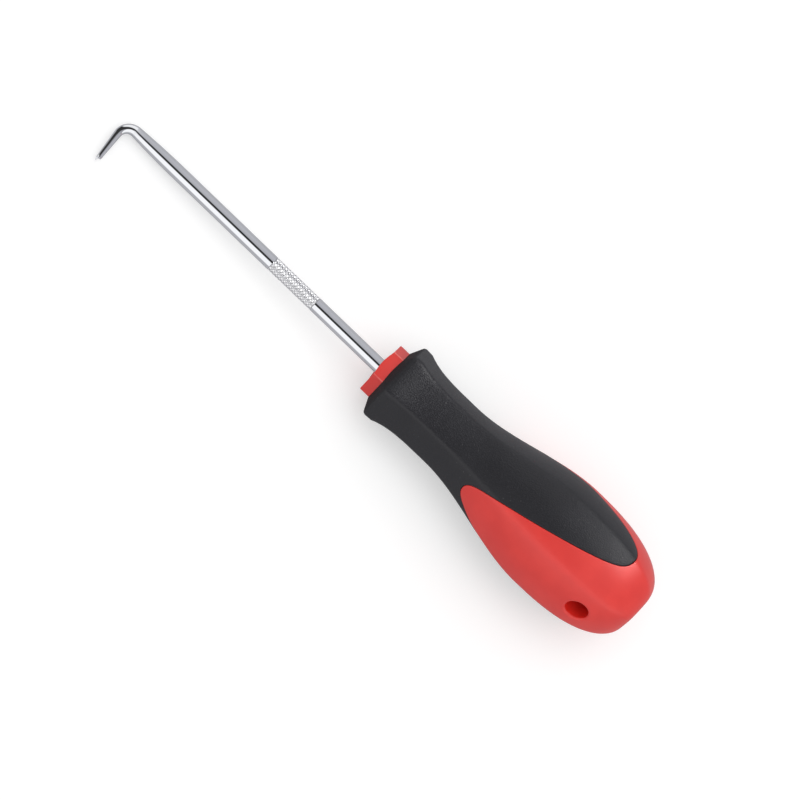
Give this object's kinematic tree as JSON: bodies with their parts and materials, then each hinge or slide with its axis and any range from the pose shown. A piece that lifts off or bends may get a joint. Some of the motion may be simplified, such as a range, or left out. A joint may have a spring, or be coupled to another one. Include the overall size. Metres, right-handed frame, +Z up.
{
  "type": "o ring pick",
  "caption": "Hand pick for lifting seals: a knurled, chromed steel rod bent to a short tapered hook, in a red moulded handle with a black soft grip and a hang hole.",
  "frame": {"origin": "on the surface that the pick lies on, under the middle of its box", "axes": "+X along the tool towards the hook, +Y the way the hook points, +Z up"},
  "size_m": [0.1802, 0.0318, 0.0309],
  "materials": {
    "chromed_steel": "bright chrome plate, knurled in one band",
    "red_plastic": "smooth moulded, semi-gloss",
    "black_soft_grip": "matte, fine spark-eroded grain"
  },
  "bodies": {
    "root": {"pick_rod": "chromed_steel", "handle_core": "red_plastic", "grip_sleeve": "black_soft_grip"}
  },
  "joints": []
}
